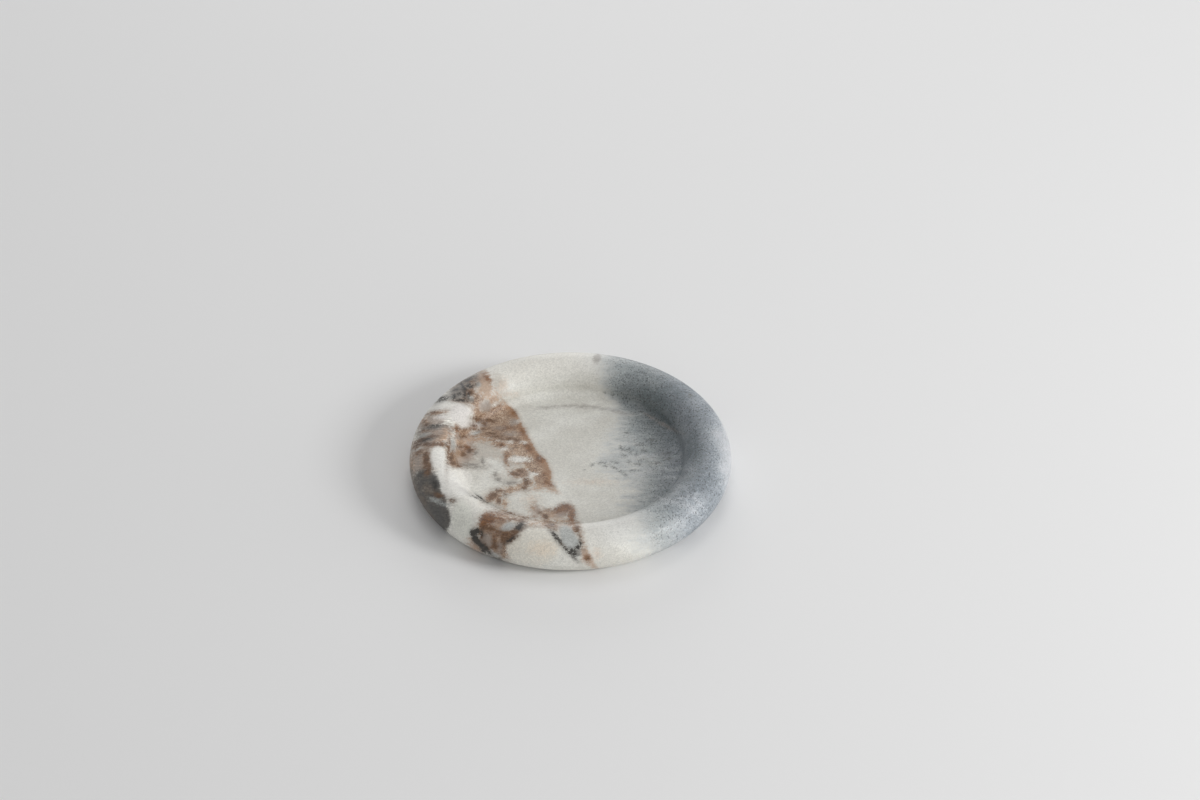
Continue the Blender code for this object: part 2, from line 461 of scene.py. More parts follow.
# The breccia and the veins, painted in this order. The dark brown group also holds two thin lines of
# painted shade along the inside of the rim. A mark is (x, v, half length, half width, turn), with its turn
# in degrees. A group with a light tone is mottled. A halo is (reach, strength). A bounded group ends at
# the fault line.
marks = {
    "greigeVeil": {
        "colour": tone(181, 173, 162), "soft": 4, "ragged": 2.6, "strength": 0.7,
        "places": [
            (-44, 4, 7, 5, 0), (-50, -2, 8, 3.2, -8), (-43, 26, 4, 4, 0), (-36, -9.5, 3, 2.2, -20),
            (-29.5, -11.8, 5.5, 2.6, -5), (-12, -28, 8, 3.2, -8), (-19, -32.8, 5, 1.3, 0),
            (-32.5, -25.5, 1.2, 3, 10), (-38, 2.5, 5, 3, 0), (-31, 1, 6, 5, -60), (-26, -2, 7, 3, -20),
            (-46, -43, 4, 2, -30), (-5, -33.5, 6, 1.8, -10), (-6, -31, 5, 1.5, 0), (4.5, -38, 1.2, 5, 8),
            (-36, 36, 3, 6, 10),
        ],
    },
    "taupe": {
        "colour": tone(168, 152, 140), "soft": 2.6, "ragged": 2, "strength": 0.88,
        "places": [
            (-70, 17.5, 7.5, 4, 18), (-67, 12, 9, 4.5, 10), (-72, 7, 8, 3.5, 12),
            (-73.5, -0.5, 5.5, 7.5, 0), (-78, -4, 2.5, 6, 8), (-53, 10, 5, 5.5, 0), (-54, 2, 6, 4.5, 0),
            (-57, -2, 3, 3, 0), (-56, 33.5, 6.5, 4.8, 38), (-49, 38.5, 8, 3.2, 30), (-47.2, 28, 3.2, 7, 0),
            (-50, 33.5, 3, 3, 0), (-44.5, 20, 4, 3, 0), (-35, -37, 9, 6.5, -35), (-40, -33, 5, 5, 0),
            (-28, -36, 6, 3, 35), (-33.5, -43, 2, 4.5, 0), (-17.2, -26.4, 1.8, 3.2, 15),
            (-12, -28, 3, 2.4, 0), (-10, -32.6, 5, 1.4, -5), (-44, -41.5, 4.5, 3, -35),
            (-60, 7, 1.2, 5, 10), (-66.5, 22.6, 5, 1.3, 12), (-45, -43.6, 4, 1.6, -30),
            (-51.5, 28.4, 2, 2.6, 0), (-48, 37.6, 2.4, 2.4, 0), (-27, -42, 3, 3.6, 20),
            (-55.5, 28, 3.4, 1, -8),
        ],
    },
    "brown": {
        "soft": 1.8, "ragged": 1.8, "strength": 0.95, "halo": (2.6, 0.3), "mottled": True, "bounded": True,
        "places": [
            (-35, 18, 12.5, 9.5, 0), (-27, 13, 11, 8, -60), (-24, 6, 7, 6, -45), (-18, -1, 9, 6.4, -45),
            (-13.5, -8, 5.5, 7.5, 0), (-25, -7.6, 5, 2.6, -5), (-13, -13, 5, 2.2, 8), (-41, 12.4, 8, 3, 0),
            (-46.5, 21.5, 2.2, 4.5, 0), (-46.5, 11.8, 5, 1.4, 14), (-36.3, 6.8, 4.2, 1.8, -15),
            (-32, 0, 4.8, 1.2, -80), (-27, -2.4, 4, 0.7, -10), (-40.3, 29, 1.2, 2, 0), (-30, 7.6, 6, 2, -5),
            (-40, 9, 4, 1.4, 0), (-30.6, 3, 2, 3, 0), (-56.8, 14.6, 1.3, 2.4, 0),
            (-53.4, 12.8, 3, 2.4, -10), (-55, 7.8, 2.2, 1.6, 0), (-52, 5, 2.8, 1.4, -10),
            (-54.8, 2.6, 2.6, 2, 5), (-58.3, 0, 1.8, 3.8, 5), (-57, -3, 2.4, 0.9, -20),
            (-66.5, 22.8, 4.3, 1, 12), (-72.5, 18.2, 2.6, 1.2, -25), (-64, 9.8, 3.5, 1, 10),
            (-72.5, 9, 5, 1.2, 18), (-67.5, 6.9, 7, 1, 0), (-61, 6, 1, 2.5, 20), (-71, -0.5, 1.8, 4.6, -2),
            (-75, 2.8, 3, 1, 25), (-78.6, -4.5, 1.4, 4, 5), (-68.5, -4.6, 2.2, 1.2, 0),
            (-50, 38.5, 3.4, 1, 20), (-50.3, 33.6, 1.6, 2, 30), (-47.2, 40.6, 2.4, 1.1, 15),
            (-52.6, 29.6, 2, 1, 0), (-37.8, -19.2, 4.2, 2.3, 12), (-35.5, -17, 3.5, 1.3, 20),
            (-30, -15.9, 4.4, 1.6, 12), (-25.5, -14.6, 3.2, 1.4, 0), (-39.6, -20, 3, 1.8, 20),
            (-22.6, -13, 1.8, 3.2, 8), (-35.4, -21.3, 2, 1.8, -10), (-18.4, -24.6, 1.5, 1.1, 0),
            (-12.6, -28.6, 2, 2, 0), (-9.3, -26.9, 3.6, 1.4, 3), (-10.5, -32.8, 3.5, 1.2, -12),
            (-1, -32.3, 4.4, 0.9, 0), (2.2, -34, 2.2, 1.8, -30), (-30.8, -38, 4.8, 3.4, -5),
            (-26.3, -35, 4, 1.8, 35), (-32, -43.5, 1.8, 4.4, 5), (-29.4, -40, 2.2, 3.4, 30),
            (-35.4, -36, 3, 1.6, 0), (-17, -31.6, 5.5, 0.8, -3), (-16, -26, 1, 3, 30),
            (-19.4, -23.6, 1.4, 0.7, 0), (-30.5, -46, 1, 2, 15), (-41, -33.6, 4, 2.6, 0),
            (-27.5, -29.5, 6.5, 0.9, -3), (-36.3, -40, 2, 2.8, 0), (-41.5, -36, 3.4, 1, 0),
            (-38, -43.4, 2.4, 1.2, -10), (4.6, -37.5, 0.5, 3, 8), (-29, -40.4, 3, 5, 25),
            (-26.6, -37.4, 2.6, 2.4, 30), (-24, -30.3, 3.6, 1.3, -5), (-12, -31.4, 2.6, 2, 0),
            (-33, -27.2, 4, 1.6, -10), (-37, -44, 2, 2.2, 0), (-20.6, -12.4, 2.6, 1.4, 0),
            (-2.4, -31.4, 4, 1.2, 0), (-32.6, -22.2, 1.6, 2.2, 20), (-8.6, -32, 2.6, 0.9, 0),
            (-48.4, 16.4, 1.8, 2.6, 0), (-47.6, 29, 2.4, 3, 0), (-68.4, 13, 3, 1, 10), (-45, 30, 2, 1, 0),
            (-26.6, -15.2, 3, 1.5, 10), (-67.2, 22.8, 3.6, 1.3, 15),
        ],
    },
    "tan": {
        "colour": tone(175, 148, 126), "soft": 2.4, "ragged": 1.8, "strength": 0.85, "bounded": True,
        "places": [
            (-43.5, 37.5, 3.6, 8, 8), (-38.3, 30.3, 2.6, 1.9, 10), (-36, 33, 1.8, 2, 0),
            (-34.3, -29.4, 5, 2, -3), (-34.8, -32, 1.6, 2.6, 0), (7.3, -47, 3, 4.6, 25),
            (10, -51, 3.6, 1.4, -25), (-9, -15.6, 3.8, 1.5, -12), (-15, -15.2, 3, 0.9, 0),
            (-48.5, -38.4, 2, 1, -5), (-45.5, -43, 3, 1.4, -28), (-33.5, 28.6, 5, 0.9, 8),
            (-7.6, -28.6, 3, 1.5, 0), (-65, 10.2, 3, 0.8, 8), (-47, 9.2, 4, 1.2, 5), (-62.5, 14, 1.6, 2, 0),
        ],
    },
    "russet": {
        "colour": tone(102, 78, 60), "light": tone(150, 126, 106), "soft": 2.6, "ragged": 1.4,
        "strength": 0.75,
        "places": [
            (-40, -35, 4.6, 3, 0), (-33.4, -36.4, 5, 2.4, -15), (-34, -43.5, 3, 4.6, 0),
            (-29.4, -38.8, 4.4, 2.6, 30), (-40, -40, 4, 4.4, 0), (-24.6, -33.4, 2.6, 2, 15),
            (-32.6, -30.6, 4, 1.4, 0),
        ],
    },
    "rust": {
        "colour": tone(78, 41, 12), "light": tone(133, 87, 44), "soft": 2.2, "ragged": 1.2,
        "strength": 0.92, "halo": (2.2, 0.3), "bounded": True,
        "places": [
            (-39.6, -28.8, 4.2, 3, 10), (-42, -31.6, 2.2, 2, 0), (-35, -28.8, 2, 0.9, -20),
            (-28.5, 22.8, 1.4, 1.1, 0), (-24, 12.8, 1.8, 1.1, -60), (-15.5, -1, 2.4, 1.6, -50),
            (-11.5, -12.3, 1.8, 1, -35), (-9.5, -13.8, 1.1, 0.8, 0), (-32, 0.4, 0.9, 2.4, 5),
            (-3.4, -25.6, 4.4, 2.9, 8), (0.3, -28, 2, 4.4, 5), (-51.8, 4.9, 2.2, 1.1, -20),
            (-56.6, 14.6, 1, 1.6, 0), (7.4, -48, 1.5, 1.7, 30), (-42.5, 40.8, 2.8, 1, -48),
            (-63.6, 6.9, 2.2, 0.9, -5), (-34.4, 6, 1.8, 1.1, 0), (-21, 4.5, 2.8, 1.3, -45),
            (-13, -9, 1.4, 1, 20), (-32.5, 15, 3, 1, 5), (-36.5, -37.8, 0.8, 1.2, 0),
            (-55, 29, 1.8, 0.5, 0), (-41.4, -30, 2.6, 2.6, 0),
        ],
    },
    "charcoal": {
        "colour": tone(60, 58, 56), "light": tone(100, 95, 88), "soft": 1.5, "ragged": 1, "strength": 0.98,
        "places": [
            (-71.5, -12.5, 6.5, 7, 0), (-68.5, -21, 9, 8, -45), (-65.5, -27, 7, 7, 0),
            (-63.4, -29, 5.2, 7.4, 5), (-66.6, -12.4, 2, 4, 15), (-69, -17.5, 2.4, 2, 0),
            (-61.4, -29, 3, 7, 0), (-65, -12.6, 1.6, 3.6, 15),
        ],
    },
    "soot": {
        "colour": tone(74, 73, 71), "soft": 4, "ragged": 2.4, "strength": 0.8,
        "places": [
            (-65, -28.5, 4.4, 6, 15), (-66.4, -11, 1.8, 4, 15), (-71, -7.5, 3.5, 1.6, 0),
            (-73, -14, 1.2, 4, 0), (-64, -33, 3, 3, 0),
        ],
    },
    "umber": {
        "colour": tone(112, 100, 88), "soft": 3, "ragged": 2.4, "strength": 0.7,
        "places": [
            (-70, -15, 2.8, 2.2, -30), (-76.6, -14, 1.2, 5, 15), (-68.4, -4.6, 1.6, 3.4, -15),
            (-67, -15.6, 2.4, 0.9, -20), (-72.5, -20.5, 1.6, 3, 30), (-68.6, -28, 1.2, 3, 30),
        ],
    },
    "swirl": {
        "colour": tone(136, 129, 120), "soft": 1.2, "ragged": 0.6, "strength": 0.5,
        "places": [
            (-76.4, -8.8, 3, 0.45, 45), (-72.4, -5.6, 2.6, 0.45, 30), (-74.6, -11.6, 2.6, 0.4, 45),
            (-70.8, -8.8, 2.6, 0.4, 15), (-72, -15.4, 2.8, 0.6, 30), (-68, -16, 1.4, 0.4, -30),
        ],
    },
    "white": {
        "colour": tone(226, 224, 218), "soft": 1.6, "ragged": 1.1, "strength": 0.92,
        "places": [
            (-65.3, 0.3, 3.7, 5.6, 0), (-60.2, -11, 3.8, 9, 8), (-54.5, -12, 6, 7, 0),
            (-25.3, -0.8, 4.6, 1.5, 0), (-30.5, 8, 1.3, 0.6, 0), (-23.4, 7.8, 1.2, 0.4, 0),
            (-18, -8.4, 1.8, 0.7, 0), (-60.5, 33.3, 2, 0.9, 25), (-50.3, 30.5, 1.3, 0.8, 0),
            (-38.3, 26.7, 1.4, 0.5, 25), (-75.2, 4.6, 1.8, 0.7, 15), (-66, 26.3, 9, 2.3, 6),
            (-71.8, 8.5, 2.2, 0.4, 12), (-27, 18.5, 1.3, 0.6, 10), (-33, 4, 1.4, 0.6, 0),
            (-40.6, -47, 0.8, 0.5, 0), (-38, -44.3, 0.5, 0.5, 0),
        ],
    },
    "warmWhite": {
        "colour": tone(213, 209, 205), "soft": 2.2, "ragged": 1.2, "strength": 0.9,
        "places": [
            (-55.5, 22.5, 5.3, 4.6, 0), (-53, 17.8, 3.6, 2.4, 0), (-64, 20.3, 3, 1, 5),
            (-47, 17, 3, 1.1, 0),
        ],
    },
    "cream": {
        "colour": tone(220, 216, 205), "soft": 2.4, "ragged": 1.2, "strength": 0.9,
        "places": [(-18, -43, 12.5, 8.6, 0)],
    },
    "milk": {
        "colour": tone(222, 222, 213), "soft": 2, "ragged": 1, "strength": 0.9,
        "places": [(-52.4, -30, 5, 9, 0)],
    },
    "paleBlue": {
        "colour": tone(158, 160, 158), "light": tone(184, 187, 184), "soft": 1.6, "ragged": 0.9,
        "strength": 0.92,
        "places": [
            (-1.2, -38.2, 6.4, 3.7, -55), (-29.8, -33, 3.8, 1.6, 15), (-58.3, 6.4, 1.2, 3, 0),
            (-72.4, 11.5, 3.2, 0.9, 17), (-46.8, 37.4, 1.4, 1.2, 0), (2.6, -45.6, 2, 1.4, -45),
            (-37, -46.4, 2.8, 1.3, -15), (-47.5, 12.6, 2.4, 0.8, 8), (-65.2, -20.4, 2.7, 1.1, -15),
            (-61.6, -22.2, 2.4, 0.8, -15), (-59.8, 30.8, 1.8, 0.9, 15), (-55.6, 31.2, 1, 0.6, 0),
        ],
    },
    "mauve": {
        "colour": tone(156, 145, 136), "soft": 2, "ragged": 1.4, "strength": 0.85,
        "places": [
            (-28.7, 18, 2.2, 1.4, 15), (-42.7, 26, 2.6, 3, 0), (-30, 12, 3, 0.9, 0), (-36, 15, 2.5, 0.8, 0),
            (-5, -28, 2.5, 1, 10), (-16, -25.4, 0.9, 2.2, 15), (-44.5, 16.6, 2.4, 0.9, 0),
            (-40.4, -38.6, 2.6, 2.4, 0), (-39.4, -41.4, 1.6, 1.4, 0), (-34, -42, 1, 2.4, 0),
        ],
    },
    "smoke": {
        "colour": tone(104, 100, 95), "light": tone(142, 136, 128), "soft": 1.5, "ragged": 1.3,
        "strength": 0.8, "halo": (2, 0.25),
        "places": [
            (-67, 15.6, 5.6, 1.6, 4), (-56.5, 34, 4.4, 3, 35), (-54, 38, 4.5, 2, 32),
            (-57, 31.5, 3, 2.4, 0), (-44, -1.5, 0.9, 1.6, 0), (-37.5, -8.3, 0.9, 1.2, 0),
            (-46.5, -4.6, 3, 0.4, 0), (-50.3, -3.4, 3.5, 0.8, -4), (-42.2, -42.6, 2.4, 1.5, -38),
            (4.3, -38, 0.4, 3.2, 8), (-56.5, 37, 2, 1, 30), (-49.5, 41.2, 3, 1, 28), (-47.5, 2.6, 1, 1, 0),
            (-74, 13.5, 2.4, 0.8, 30), (-36, -11, 1.6, 1, -15), (-30, -12.4, 3, 0.8, 0),
            (-35, -48.3, 2.6, 0.7, -16), (-3.2, -42.6, 2.2, 0.5, -50), (1.2, -48, 2, 0.6, -52),
            (3, -45.4, 1.6, 2.2, -20), (-78.4, -7.4, 1.2, 3, 10), (-46.4, 18.4, 2, 1, 0),
            (-50.6, 29.6, 2.4, 1.2, 0), (-24.4, -33.6, 2.4, 1.2, 20), (-57.2, -20.3, 1.6, 0.8, -15),
            (-68, 15, 5.4, 1.5, 0), (-70.6, 9.4, 3.6, 1.2, 15), (-48, 39.6, 2.4, 1, 30),
        ],
    },
    "darkBrownAndShade": {
        "colour": tone(72, 47, 29), "light": tone(118, 88, 62), "soft": 1.1, "ragged": 0.9,
        "strength": 0.95, "halo": (1.8, 0.4),
        "places": [
            (-41, 18.9, 2.8, 1.1, 0), (-46.3, 19.2, 2.8, 1.1, -8), (-43.6, 17.2, 1.4, 0.9, -35),
            (-48, 14.7, 4.4, 0.55, 3), (-40, 12, 1.8, 0.5, 5), (-36.5, 10.7, 2.2, 0.5, 0),
            (-31.5, 9.4, 2.6, 0.6, 0), (-27, 8.8, 1.4, 0.7, 0), (-27.3, -8.3, 1.9, 1, 0),
            (-25.3, -6.9, 1.3, 0.8, 0), (-22.1, -12.4, 1.3, 1.8, 8), (-22.8, -15, 1.7, 1.3, 0),
            (-38.6, -18.9, 2.4, 1.7, 25), (-36, -16.3, 1.6, 0.7, -15), (-35.1, -21, 1.2, 1.9, -10),
            (-32, -18.3, 1.2, 0.8, 20), (-53.5, 10.8, 1.6, 0.7, 5), (-49.8, 14.6, 1.4, 0.6, 0),
            (-50.6, 3.5, 1.4, 1, 20), (-53.4, 1.8, 1.7, 1.3, -10), (-58.6, 0.6, 1.1, 3, 5),
            (-57.6, -2.4, 1.3, 1.2, 30), (-56, -3.8, 1.6, 0.6, -12), (-73, 9, 4.4, 1.2, 18),
            # the last mark on the next line is painted shade: a thin dark line down the inner side of the
            # left rim's roll
            (-70.8, -1, 1.4, 4.4, -2), (-69.5, 6.9, 5.4, 0.8, 0), (-60.2, 2.5, 0.6, 5, 5),
            (-68.6, 10.6, 3.4, 0.9, 10), (-76.5, 6.4, 2.6, 0.7, 30), (-72, 13.6, 2, 0.6, 20),
            (-70, -6.4, 1.6, 2, -30), (-52.9, 33.8, 1, 2.6, 8), (-50.7, 38.8, 2.2, 0.8, 15),
            (-50.4, 33, 1.2, 1.2, 30), (-38.4, -33.7, 2.3, 1.1, -5), (-31, -36.2, 3.2, 1.4, -10),
            (-27.6, -35.4, 2.4, 1, 32), (-36.2, -39.9, 0.9, 1.9, 5), (-37.4, -42.8, 1.3, 0.9, 20),
            (-12.5, -29, 1.2, 1.4, 25), (2.9, -34.6, 1.1, 1.4, 20), (7.7, -48.2, 0.9, 0.8, 0),
            (-24.4, -29.9, 3.2, 0.5, -6), (-34, -34.9, 2.4, 0.8, -15), (-69, 10.8, 3, 0.8, 18),
            (-71.8, 17, 1.3, 0.6, -20), (-63.8, -18, 2.2, 0.9, -22), (-40.3, -43, 0.7, 2.4, 35),
            (-74.6, 3, 1.8, 0.6, 25), (-55, 5.6, 1.4, 0.7, 0), (-15, -27, 0.8, 0.6, 0),
            (-9.4, -26.3, 1.8, 0.4, 3), (-9.4, -32.2, 1.3, 0.5, 0), (-72, 9.4, 3, 0.9, 15),
            (-69.4, -4, 1.2, 1.8, -20), (-36.4, -42.6, 1.6, 1.2, 20), (-29.4, -38.6, 2, 2.2, 20),
            # the last mark on the next line is painted shade: a thin dark line along the inner edge of the
            # front rim
            (-26.4, -36, 1.8, 1, 30), (-48.8, 16.4, 1.4, 0.8, 0), (-30.4, -27.4, 3.4, 0.5, -22),
            (-63.4, 6.4, 3, 0.6, -15), (-67.4, 7.4, 4, 0.6, 0), (-57.4, -20.6, 0.9, 0.5, 0),
            (-71, 0.6, 1, 3.4, 0), (-76, 5.4, 1.6, 0.6, 45), (-40, -33.6, 2.8, 1.1, 0),
            (-36.6, -41.6, 1.1, 2, 0), (-28.6, -37.2, 3, 1.2, 30), (-32.4, -39, 1.4, 2, 0),
            (-42.6, -37.6, 0.8, 1.4, 0), (-68, 23, 2.6, 0.5, 15), (-27.6, -38.4, 2.2, 1, 30),
            (-49.4, 36.4, 2, 0.7, 30),
        ],
    },
    "black": {
        "colour": tone(24, 22, 18), "light": tone(50, 45, 39), "soft": 0.9, "ragged": 0.6, "strength": 0.97,
        "halo": (1.8, 0.4),
        "places": [
            (-46.6, -35.8, 1.9, 1.9, 0), (-42.6, -36, 0.7, 1.4, 20), (-46.2, -38.2, 1.4, 2.2, 15),
            (-44.8, -40.4, 1.6, 1.6, 0), (-43, -41.8, 2.2, 1.2, -40), (-41.2, -43.4, 1.8, 1.3, -40),
            (-39.6, -45.2, 1.8, 0.8, -45), (-24.2, -32.4, 2, 1.3, 25), (-25.8, -33.6, 1.4, 0.7, 35),
            (-36.4, -48.4, 2, 0.5, -20), (0.2, -44.4, 1.3, 1.2, 0), (-0.2, -45.4, 1, 1.1, 0),
            (2.8, -42.6, 1.5, 0.9, 38), (2, -43.4, 1.1, 0.7, 35), (4, -41.1, 0.6, 1.2, 0),
            (-8.7, -36, 1.8, 0.6, -46), (-7.1, -38.4, 2.1, 0.9, -60), (-5.3, -40.8, 1.6, 0.5, -50),
            (-1.6, -44.4, 1.6, 0.5, -48), (-0.3, -46.2, 2, 0.6, -52), (-64.5, 29.4, 3.4, 0.6, 8),
            (-55.4, 29, 3, 0.8, 0), (-58.4, 31, 1.1, 1.3, 0), (-54.6, 36.3, 2.4, 0.9, -60),
            # the second mark on the next line is a thin black line along the inner edge of the front-left
            # rim
            (-57.5, 34.8, 2, 0.7, 15), (-44.5, -19.9, 3.8, 0.4, -31), (-53.2, 32.4, 0.8, 2.8, 0),
            (-56, 32.6, 1.2, 0.8, 30), (-51.8, 36.8, 1, 1.6, -30), (-52, 39.4, 2.4, 0.7, 30),
            (-67.5, 16.3, 2.4, 0.5, 0), (-50.6, 40.8, 1.2, 0.5, 30), (-42.2, -44.6, 2, 1, -38),
            (-65.6, 30.2, 2.8, 0.8, 10), (-5.6, -39.6, 1.8, 0.7, -55), (1, -46, 1.2, 1, -50),
            (-71.4, 9.2, 2.6, 0.7, 15), (-66.2, -12.6, 0.9, 2.4, 15), (-69, 15.4, 2.6, 0.6, 0),
            (-45.8, -38.6, 1.5, 2.4, 15), (-43.6, -41.6, 2.6, 1.3, -45), (-24.8, -33, 1.9, 1.3, 30),
            (-6.2, -39, 3.6, 0.7, -60), (-8.2, -36.6, 1.6, 0.7, -45), (1, -44.6, 1.6, 0.8, 30),
            (-2.6, -43.6, 2.4, 0.5, -45), (-45.4, -35.2, 1.8, 1.6, 0), (-50.4, 36, 1.8, 0.7, 30),
            (-53.6, 34.6, 1.2, 0.8, 45), (-29, -39.2, 2.4, 0.7, 30), (-51.4, 31.4, 0.7, 1.8, 0),
        ],
    },
    "fleck": {
        "colour": tone(98, 99, 96), "soft": 1.3, "ragged": 1.8, "strength": 0.75,
        "places": [
            (14.2, -3.4, 0.9, 0.4, 0), (16, -2.8, 0.8, 0.4, 0), (20.6, -2.6, 0.9, 0.5, 0),
            (22.4, -3, 0.8, 0.4, 0), (21.4, -5.2, 0.6, 0.4, 0), (22.8, -5.8, 0.6, 0.4, 0),
            (17.6, -4.8, 0.7, 0.4, 0), (19.2, -4.2, 0.5, 0.3, 0), (24.4, -7.2, 0.7, 0.5, 0),
            (25.6, -8.2, 0.7, 0.4, 0), (27.2, -9, 0.8, 0.4, 0), (25.2, 4.6, 0.5, 0.6, 0),
            (26.4, 3.6, 0.5, 0.4, 0), (29.2, 3.4, 0.6, 0.5, 0), (30.4, 2.4, 0.6, 0.4, 0),
            (26.2, 1.4, 0.5, 0.5, 0), (27.4, 0.4, 0.6, 0.4, 0), (7, -6.5, 0.4, 0.4, 0),
            (11, -4, 0.6, 0.4, 0), (48.5, -1.5, 1.6, 0.6, 0), (61, 30.5, 1, 0.8, 0), (47, 1, 2.4, 0.6, 0),
            (43, -3.4, 2, 0.5, 0), (41, 8, 1.4, 0.5, 0), (35, 6, 1.6, 0.5, 0), (28, 12, 1, 0.5, 0),
            (18, 33, 0.5, 0.5, 0), (22, 31.5, 0.5, 0.5, 0), (33, -4, 1.4, 0.5, 0), (37, 3, 1.2, 0.5, 0),
            (31, -7, 1, 0.5, 0), (33.4, 1, 1, 0.4, 0), (36, -1.6, 1.2, 0.4, 0), (29, -2.4, 0.8, 0.4, 0),
        ],
    },
    "dustyVein": {
        "colour": tone(146, 139, 133), "soft": 1.8, "ragged": 1.4, "strength": 0.65,
        "places": [
            (-13, 25.4, 4, 0.7, -2), (-8, 26.2, 3, 0.6, 0), (-1, 26.2, 5, 0.7, 0), (7, 25.6, 4, 0.9, 0),
            (13, 25.4, 3, 0.7, 0), (17, 24.6, 2, 0.6, 0), (24, 23, 4, 0.5, -15), (14, 50.6, 2, 2.6, -10),
            (48, 15.5, 5, 0.8, -25), (42, 19.5, 3, 0.6, -25), (-15.5, -0.5, 0.6, 0.6, 0),
        ],
    },
    "wisp": {
        "colour": tone(204, 206, 210), "soft": 2, "ragged": 1, "strength": 0.4,
        "places": [
            (49.5, -22, 5, 0.5, -8), (57.5, -24.4, 4.4, 0.5, -42), (60.5, -21.5, 3.4, 0.5, -50),
            (54, -20.4, 4, 0.4, 10), (35, -9, 4, 0.4, 0), (45, -6.5, 5, 0.5, 0), (38, 0.6, 5, 0.5, 0),
            (50, -10.5, 3, 0.4, 0),
        ],
    },
    "peach": {
        "colour": tone(222, 202, 178), "soft": 5, "ragged": 3, "strength": 0.45,
        "places": [(-14, -43.5, 6, 3.2, 0)],
    },
    "stain": {
        "colour": tone(208, 184, 162), "soft": 4, "ragged": 2.4, "strength": 0.4,
        "places": [
            (-34, 37, 1.6, 2.6, -20), (-31, 32.6, 2.6, 0.8, 5), (-28, 3, 2.4, 0.8, 0),
            (12, -46, 1.6, 2.4, 10), (-20, -20, 3, 1.4, 0), (10.5, -12.5, 5, 0.7, 0),
        ],
    },
}

# Slate: the grey sets in at one (v, x) line and is full at the other. Places add to it or take from it:
# (x, v, half length, half width, turn, softness, share)
slate = {
    "stops": [
        (0, tone(222, 221, 214)), (0.25, tone(190, 192, 190)), (0.5, tone(154, 160, 161)),
        (0.75, tone(129, 135, 137)), (1, tone(101, 110, 112)),
    ],
    "start": [
        (-56, 20), (-44, 18), (-38, 20), (-31, 18), (-27, 16), (-24, 11), (-16, 21), (-10, 10), (-4, 0),
        (2, 3), (8, 9), (16, 14), (22, 19), (28, 18), (32, 13), (38, 8), (56, 3),
    ],
    "full": [
        (-56, 86), (-44, 78), (-38, 66), (-30, 57), (-24, 53), (-18, 53), (-12, 58), (-4, 66), (2, 58),
        (9, 49), (18, 46), (24, 39), (29, 31), (36, 31), (42, 38), (56, 43),
    ],
    "share": 0.72,
    "places": [
        (44, 25, 17, 9, -38, 5, 0.24), (48, 14, 9, 7, -40, 6, 0.08), (62, 2, 17, 6, 84, 5, 0.2),
        (46, -17.5, 9, 5, 28, 5, 0.18), (73, 30, 24, 8, -52, 8, -0.1), (82, 0, 44, 15, 90, 10, -0.42),
        (58, -30, 18, 10, 30, 7, -0.2), (53, 32, 14, 8, -38, 6, 0.12), (20, -1, 9, 5, 0, 5, 0.15),
        (37, -4, 12, 11, 0, 6, -0.09), (56, -10, 5, 4, 0, 3, 0.2), (60, -22, 10, 6, 30, 5, -0.2),
        (71, 12, 5, 12, 0, 4, -0.16), (34, 28, 8, 4, -20, 4, -0.22), (60, 25, 4, 3, 0, 3, 0.1),
        (32, -18, 6, 3, 0, 3, -0.1), (14, -4, 6, 5, 0, 4, 0.09), (37, 5, 8, 3, 0, 3, -0.08),
        (53, -23, 5, 4, 0, 3, -0.12),
    ],
    "floorHeights": (0.009, 0.0055),
    "bandsFrom": (-15, 35),
    "bands": 0.8,
    "puffsFrom": (5, 30),
    "puffs": 0.5,
    "streaks": 0.8,
    "grain": 0.4,
    "powder": 1.3,
    "textureWithGrey": 0.6,
    "texture": 0.14,
    "coolsFrom": (38, 60),
    "cool": (0.98, 0.985, 1.05, 1),
    "shows": (0.02, 0.2),
}

# The mottled brown of the breccia, and the bedding that shows through it on the left
breccia = {
    "stops": [
        (0.3, tone(104, 79, 58)), (0.42, tone(142, 113, 90)), (0.54, tone(168, 140, 116)),
        (0.66, tone(189, 166, 144)), (0.78, tone(208, 197, 180)),
    ],
    "blotch": 0.4,
    "powder": 1.1,
    "faultTone": tone(151, 111, 76),
    "faultRange": (6, 0.5),
    "faultShare": 0.8,
    "lightRange": (0.25, 0.75),
    "bedding": 2.4,
    "beddingFrom": (-48, -60),
    "beddingHeights": (0.008, 0.012),
}


def frameAngle(mark):  # the mark's turn, to the nearest frame
    return round(mark[4] / marble["frameStep"]) * marble["frameStep"] % 180


def turnedPlaces(place, places):  # the place as read in every frame that these marks need
    turned = {0: place}
    for angle in {frameAngle(mark) for mark in places} - {0}:
        sockets = {"Vector": place, "Angle": -radians(angle)}
        turned[angle] = place.node("VectorRotate", {"rotation_type": "Z_AXIS"}, sockets)
    return turned


def markDepth(turned, mark):  # about how far inside the mark a point lies, in pattern millimetres
    x, v, halfLength, halfWidth = mark[:4]
    angle = frameAngle(mark)
    centre = Matrix.Rotation(-radians(angle), 2) @ Vector((x, v))
    size = (1 / halfLength, 1 / halfWidth, 0)
    sockets = {0: turned[angle], 1: size, 2: (-centre.x / halfLength, -centre.y / halfWidth, 0)}
    inside = turned[0].node("VectorMath", {"operation": "MULTIPLY_ADD"}, sockets)
    reach = inside.node("VectorMath", {"operation": "LENGTH"}, {0: inside}, "Value")
    return reach.math("MULTIPLY_ADD", reach, -min(halfLength, halfWidth), min(halfLength, halfWidth))


